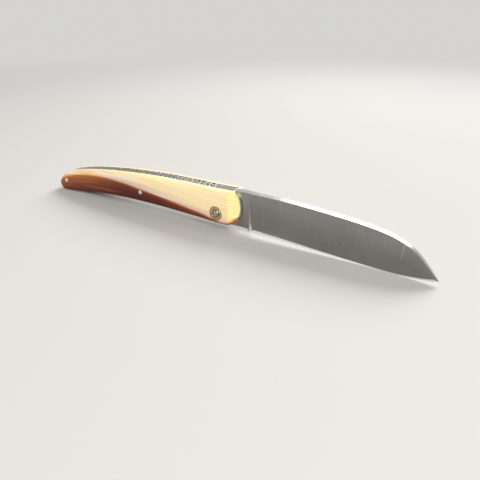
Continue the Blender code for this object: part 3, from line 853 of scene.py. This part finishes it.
# Flanks get the painted-dark copy; spine, top and cutting bevel get the painted-light one
for step in range(1, STATIONS + 1):
    x = cut_x + (tip_x - TIP_BACK - cut_x) * step / STATIONS
    drawn = [shape.verts.new(point) for point in blade_section(x)]
    for spot in range(len(section)):
        corners = (section[spot - 1], section[spot], drawn[spot], drawn[spot - 1])
        strip = shape.faces.new(corners)
        strip.material_index = SATIN_SHADED if spot in SATIN_SHADED_STRIPS else BRIGHT_LIT
    section = drawn
shape.faces.new(section)
bmesh.update_edit_mesh(blade.data)
bpy.ops.mesh.select_all(action="SELECT")
bpy.ops.mesh.normals_make_consistent(inside=False)
# The tang's top and the plunge get the painted-light copy as a painted highlight
pick_faces(blade, lambda centre, normal: centre.x < cut_x and (
    normal.z > UPWARDS or (normal.x > FORWARDS and centre.x > plunge_x)))
for face in bmesh.from_edit_mesh(blade.data).faces:
    if face.select:
        face.material_index = BRIGHT_LIT
finish_piece(
    blade, [satin_shaded_steel, bright_lit_steel], "blade", "blade", BLADE_EDGE_ANGLE)


# Rosettes: two turned brass rings let into the horn, on which the pivot pin is peened.  Their
# profile runs from the bore to the rim, as millimetres from the rim and above the seat.
TURNED_CORNERS = 64
TURNED_RING_SCALE = 6000.0
TURNED_PATCHES = (420.0, 420.0, 420.0)
ROSETTE_BORE = 1.66 * MM
ROSETTE_PROFILE = (
    (-0.15, 0.0), (0.0, 0.12), (0.0, 0.36), (-0.07, 0.45), (-0.22, 0.51), (-0.45, 0.545),
    (-0.62, 0.55), (-0.85, 0.535), (-1.02, 0.49), (-1.14, 0.42), (-1.22, 0.33),
)
ROSETTE_EDGE_ANGLE = 40.0
BRASS = (0.66, 0.49, 0.21)
BRASS_STAIN = (0.40, 0.28, 0.10)


def turned(name, x, z, profile, ring):
    """A turned piece lying across the knife, drawn ring by ring through (radius, Y) places."""
    bpy.ops.object.select_all(action="DESELECT")
    radius, y = profile[0]
    bpy.ops.mesh.primitive_circle_add(
        vertices=TURNED_CORNERS, radius=radius, fill_type="NOTHING" if ring else "NGON",
        location=(x, y, z), rotation=(math.radians(90.0), 0.0, 0.0))
    piece = bpy.context.object
    piece.name = name
    bpy.ops.object.transform_apply(location=True, rotation=True, scale=True)
    bpy.ops.object.mode_set(mode="EDIT")
    bpy.ops.mesh.select_all(action="SELECT")
    if not ring:
        bpy.ops.mesh.region_to_loop()
    for (radius_1, y_1), (radius_2, y_2) in zip(profile, profile[1:]):
        bpy.ops.mesh.extrude_edges_move(TRANSFORM_OT_translate={"value": (0.0, y_2 - y_1, 0.0)})
        ratio = radius_2 / radius_1
        bpy.ops.transform.resize(value=(ratio, 1.0, ratio), center_override=(x, y_2, z))
    if ring:
        pick_edges(piece, lambda edge: len(edge.link_faces) == 1)
        bpy.ops.mesh.bridge_edge_loops()
    else:
        bpy.ops.mesh.edge_face_add()
    bpy.ops.mesh.select_all(action="SELECT")
    bpy.ops.mesh.normals_make_consistent(inside=False)
    return piece


# Turning as a finish: fine rings around a centre, and patches where stain gathers
turned_rings, given, result = new_effect(
    "turned_rings", (("Place", "Vector"), ("Centre", "Vector")), ("Rings", "Patches", "Tone"))
spot = add_node(
    turned_rings, "ShaderNodeVectorMath", {0: given["Place"], 1: given["Centre"]},
    operation="SUBTRACT").outputs[0]
axes = add_node(turned_rings, "ShaderNodeSeparateXYZ", {0: spot}).outputs
flat = add_node(turned_rings, "ShaderNodeCombineXYZ", {0: axes["X"], 2: axes["Z"]}).outputs[0]
reach = add_node(turned_rings, "ShaderNodeVectorMath", {0: flat}, operation="LENGTH")
outwards = add_node(turned_rings, "ShaderNodeCombineXYZ", {0: reach.outputs["Value"]}).outputs[0]
rings = add_node(
    turned_rings, "ShaderNodeTexNoise",
    {"Vector": outwards, "Scale": TURNED_RING_SCALE, "Detail": 2.0}).outputs["Fac"]
patches = grain(turned_rings, given["Place"], TURNED_PATCHES, 4.0, 0.6, 0.3)
tone = maths(
    turned_rings, "MULTIPLY_ADD", rings, 0.35, maths(turned_rings, "MULTIPLY", patches, 0.65))
for socket, word in ((rings, "Rings"), (patches, "Patches"), (tone, "Tone")):
    turned_rings.links.new(socket, result[word])


def turned_paint(name, plain, stain, roughness, centre):
    """Turned metal: fine rings around its centre, and a stain that gathers in patches."""
    paint, tree, shader, place = new_paint(name, 1.0)
    inputs = {"Place": place, "Centre": (centre[0], 0.0, centre[1])}
    finish = add_node(tree, "ShaderNodeGroup", inputs, node_tree=turned_rings).outputs
    colour = ramp(tree, finish["Tone"], ((0.36, stain), (0.60, plain)))
    tree.links.new(colour, shader.inputs["Base Color"])
    rough = maths(tree, "MULTIPLY_ADD", finish["Patches"], 0.25, roughness - 0.12)
    tree.links.new(rough, shader.inputs["Roughness"])
    bump(tree, shader, finish["Rings"], 0.004 * MM, 0.5)
    return paint


for side, word in SIDES:
    low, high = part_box("rosette_" + word)
    seat = low[1] if side > 0 else high[1]
    profile = [(pins[0][2] + step * MM, seat + side * rise * MM) for step, rise in ROSETTE_PROFILE]
    profile.insert(0, (ROSETTE_BORE, seat))
    rosette = turned("brass_rosette_" + word, pins[0][0], pins[0][1], profile, True)
    brass = turned_paint("rosette_brass_" + word, BRASS, BRASS_STAIN, 0.34, pins[0][:2])
    finish_piece(
        rosette, [brass], "rosette_" + word, "handle", ROSETTE_EDGE_ANGLE)


# Pins: the steel pins that hold the handle together.  Each is driven through and its ends
# are hammered to a low dome; the pivot pin's domes sit in the rosettes.
DOME_STEPS = 6
DOME_CROWN_SHARE = 0.08
PIVOT_DOME = 0.65 * MM
PIN_DOME = 0.3 * MM
PIN_EDGE_ANGLE = 50.0
PIN_ROUGHNESS = 0.28
BLUED_STEEL = (0.46, 0.49, 0.53)
BLUED_STAIN = (0.24, 0.25, 0.27)
WHITE_STEEL = (0.78, 0.78, 0.77)
WHITE_STAIN = (0.52, 0.51, 0.50)


def dome_profile(radius, height, stop, side):
    """Places from a pin's shoulder to near its crown."""
    steps = []
    for step in range(DOME_STEPS):
        angle = math.radians(90.0) * step / DOME_STEPS
        steps.append((radius * math.cos(angle), stop + side * height * (math.sin(angle) - 1.0)))
    return steps + [(radius * DOME_CROWN_SHARE, stop)]


def pin_between(name, node, dome_right, dome_left, paint):
    """A pin with its ends domed, in place of the frame's."""
    low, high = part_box(node)
    x, z, radius = middle_of(node)
    start = [(radius, low[1])]
    if dome_right:
        start = dome_profile(radius, dome_right, low[1], -1.0)[::-1]
    end = [(radius, high[1])]
    if dome_left:
        end = dome_profile(radius, dome_left, high[1], 1.0)
    pin = turned(name, x, z, start + end, False)
    finish_piece(pin, [paint], node, "handle", PIN_EDGE_ANGLE)


def pin_paint(name, plain, stain, node):
    """Turned steel, with its rings around a pin's own middle."""
    return turned_paint(name, plain, stain, PIN_ROUGHNESS, middle_of(node)[:2])


blued = pin_paint("pivot_pin_steel", BLUED_STEEL, BLUED_STAIN, "pivot_pin")
pin_between("pivot_pin_peened", "pivot_pin", PIVOT_DOME, PIVOT_DOME, blued)
tail_steel = pin_paint("tail_pin_steel", WHITE_STEEL, WHITE_STAIN, "tail_pin")
pin_between("tail_pin_peened", "tail_pin", PIN_DOME, PIN_DOME, tail_steel)
scale_steel = pin_paint("scale_pin_steel", WHITE_STEEL, WHITE_STAIN, "scale_pin_right")
pin_between("scale_pin_peened_right", "scale_pin_right", PIN_DOME, 0.0, scale_steel)
pin_between("scale_pin_peened_left", "scale_pin_left", 0.0, PIN_DOME, scale_steel)


# Inside the handle: bronze washers beside the tang, and the flush pin that carries the spring.
# They keep the frame's own shapes.
BRONZE = (0.62, 0.40, 0.19)
BRONZE_STAIN = (0.38, 0.22, 0.09)
HIDDEN_STEEL = (0.62, 0.62, 0.61)
HIDDEN_STAIN = (0.42, 0.41, 0.40)

washer_bronze = turned_paint("washer_bronze", BRONZE, BRONZE_STAIN, 0.35, pins[0][:2])
spring_pin_steel = pin_paint("spring_pin_steel", HIDDEN_STEEL, HIDDEN_STAIN, "spring_pin")
for node, paint in (
    ("washer_right", washer_bronze), ("washer_left", washer_bronze),
    ("spring_pin", spring_pin_steel),
):
    carried = frame["nodes"][node]
    carried.data.materials.clear()
    carried.data.materials.append(paint)
